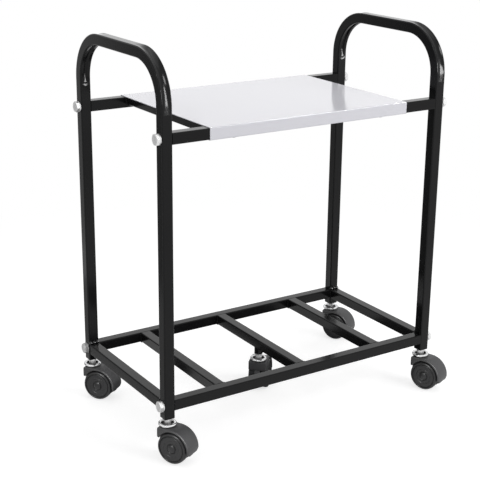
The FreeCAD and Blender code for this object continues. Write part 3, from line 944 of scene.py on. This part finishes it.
# %% [markdown]
# ## Lamps
# Four soft boxes light the trolley. Seven more only draw highlights, and only on the pieces that
# need them, because a flat panel or rail would mirror such a lamp as a burnt patch: one on the
# small pieces, one along the rounded edges of the hoods, one on the wheels' caps and rims, one for
# the streak on each frame's front bends and one for the bends at the back. The last stands where
# only the front fold of the panel mirrors it. The centre caster is in the shade and gets none.

# %% Hang the lamps


def softbox(name, position, target, size, watts, mirrored=True, mirrored_by=()):
    """Soft box that lights every piece, or that only shows as a highlight on some of them."""
    lamp = bpy.data.lights.new(name, "AREA")
    lamp.shape = "RECTANGLE"
    lamp.size, lamp.size_y = size
    lamp.energy = watts
    holder = add_object(name, lamp)
    holder.location = position
    aim = Vector(target) - Vector(position)
    holder.rotation_euler = aim.to_track_quat("-Z", "Y").to_euler()
    holder.visible_camera = False
    holder.visible_glossy = mirrored
    if mirrored_by:
        holder.visible_diffuse = False
        group = bpy.data.collections.new(name + "_shows_on")
        for piece in mirrored_by:
            group.objects.link(piece)
        holder.light_linking.receiver_collection = group


def pieces_named(*endings):
    """Pieces by the end of their names, without the centre caster, which stands in the shade."""
    return [piece for piece in bpy.context.scene.objects
            if piece.name.endswith(endings) and not piece.name.startswith("centre")]


left_tube, right_tube = pieces_named("left_bent_tube"), pieces_named("right_bent_tube")
welds = pieces_named("coarse_weld_beads")
small = pieces_named("_turned", "_moulded", "_bolt_heads")
hoods, wheels = pieces_named("_moulded"), pieces_named("_left_turned", "_right_turned")
FRONT = ((1.45, -2.3, 2.0), (0, 0, 0.5), (1.5, 1.5), 40)
softbox("top_softbox", (0.2, 0.3, 2.6), (0, 0, 0.4), (2.2, 1.6), 10)
softbox("front_softbox", *FRONT, mirrored=False)
softbox("front_highlight", *FRONT, mirrored_by=small + welds)
softbox("hood_line", (-1.35, -2.0, 1.25), (0, 0, 0.05), (0.4, 0.4), 180, mirrored_by=hoods)
softbox("wheel_glint", (-2.0, -1.1, 1.9), (0, 0, 0.05), (0.4, 0.4), 70, mirrored_by=wheels)
softbox("right_bend_streak", (1.5, -2.3, 0.92), (0, 0, 0.6), (1.6, 0.84), 140,
        mirrored_by=right_tube + welds)
softbox("left_bend_streak", (1.06, -2.59, 1.25), (-0.48, -0.31, 0.6), (0.85, 1.5), 133,
        mirrored_by=left_tube)
softbox("back_bend_streak", (-0.3, -1.5, 2.0), (0, 0, 0.3), (0.6, 0.6), 21,
        mirrored_by=left_tube + right_tube)
softbox("fold_line", (1.47, -0.63, 2.47), (0, -0.15, 0.56), (0.7, 0.7), 70,
        mirrored_by=[nodes["shelf_panel"]])
softbox("left_softbox", (-2.0, -1.05, 2.4), (0, 0, 0.4), (0.35, 0.35), 4)
softbox("back_softbox", (1.45, 2.3, 0.9), (0, 0, 0.6), (4.0, 1.8), 6.5)
print(len(bpy.data.lights), "lamps hung")

# %% [markdown]
# ## Dim cards of painted shade
# Black gloss shows what it mirrors. Four dim cards, seen only in glossy surfaces and only from
# one side, are painted shade in the reflections: they darken what the tubes mirror, as a shaded
# floor and room would. Two stand behind the trolley, for the legs, one lies under it, for slats
# and rails, and one lies on the floor to the left, for the left faces near the floor.

# %% Set up the cards
# Sizes of the cards of painted reflected shade, and how bright the left card is.
CARD_DEEP, CARD_HIGH = 0.78, 0.65
CARD_SLANT = 0.49
LEFT_SHADE_CARD_STRENGTH = 0.5


def one_sided(spot, strength):
    """Painted shade for reflections: dim light in front of a card, and nothing behind it."""
    dim = spot.node("ShaderNodeEmission", {"Strength": strength})
    behind = spot.node("ShaderNodeNewGeometry", out=6)
    clear = spot.node("ShaderNodeBsdfTransparent")
    return spot.node("ShaderNodeMixShader", {0: behind, 1: dim, 2: clear})


def shade_lighter_far_off(spot):
    """Card of painted reflected shade, which gets lighter towards the back and the right."""
    x, y, _ = spot.parts()
    far = y + CARD_SLANT * x
    return one_sided(spot, far.node("ShaderNodeMapRange", {
        "Value": far, "From Min": 0.11, "From Max": 0.66, "To Min": 0.04, "To Max": 0.62}))


# Painted reflected shade, equally dim over the whole card.
def even_reflected_shade(spot):
    return one_sided(spot, LEFT_SHADE_CARD_STRENGTH)


# Painted shade in reflections: sheets behind the legs, under the slats and left of the frame.
behind_legs = [(x, y + deep, z) for x, y in ((-0.69, 0.42), (-0.137, 0.15)) for deep, z in (
    (0, 0), (CARD_DEEP, 0), (CARD_DEEP, CARD_HIGH), (0, CARD_HIGH))]
under_slats = flat_sheet(-0.26, 0.26, -0.12, 0.18, GAP)
left_of_frame = flat_sheet(-0.70, -0.37, -0.12, 0.75, GAP)
for card in (stage_sheets("dark_cards", behind_legs + under_slats, shade_lighter_far_off),
             stage_sheets("left_floor_card", left_of_frame, even_reflected_shade)):
    card.visible_camera = card.visible_diffuse = False
    card.visible_shadow = card.visible_transmission = False
print("cards set up")

# %% [markdown]
# ## Camera
# The camera stands in front, to the left and a little above the handles, with a long lens. Its
# place and lens come from fitting the straight edges of the tubes. It needs no lens shift.

# %% Place the camera
FOCAL_PX, IMAGE_PX, SENSOR_WIDTH = 1175.56, 480, 36.0
AZIMUTH, ELEVATION, ROLL = map(math.radians, (-32.76, 18.20, 0.54))
EYE = Vector((-1.1438, -1.6783, 0.9693))
back = Vector((math.sin(AZIMUTH) * math.cos(ELEVATION),
               -math.cos(AZIMUTH) * math.cos(ELEVATION),
               math.sin(ELEVATION)))
right = Vector((math.cos(AZIMUTH), math.sin(AZIMUTH), 0))
upright = Matrix((right, back.cross(right), back)).transposed().to_4x4()
lens = bpy.data.cameras.new("camera")
lens.sensor_width = SENSOR_WIDTH
lens.lens = FOCAL_PX / IMAGE_PX * SENSOR_WIDTH
camera = add_object("camera", lens)
camera.matrix_world = Matrix.Translation(EYE) @ upright @ Matrix.Rotation(ROLL, 4, "Z")
bpy.context.scene.camera = camera
bpy.context.scene.view_settings.view_transform = "Standard"
print("lens %.1f mm" % lens.lens)
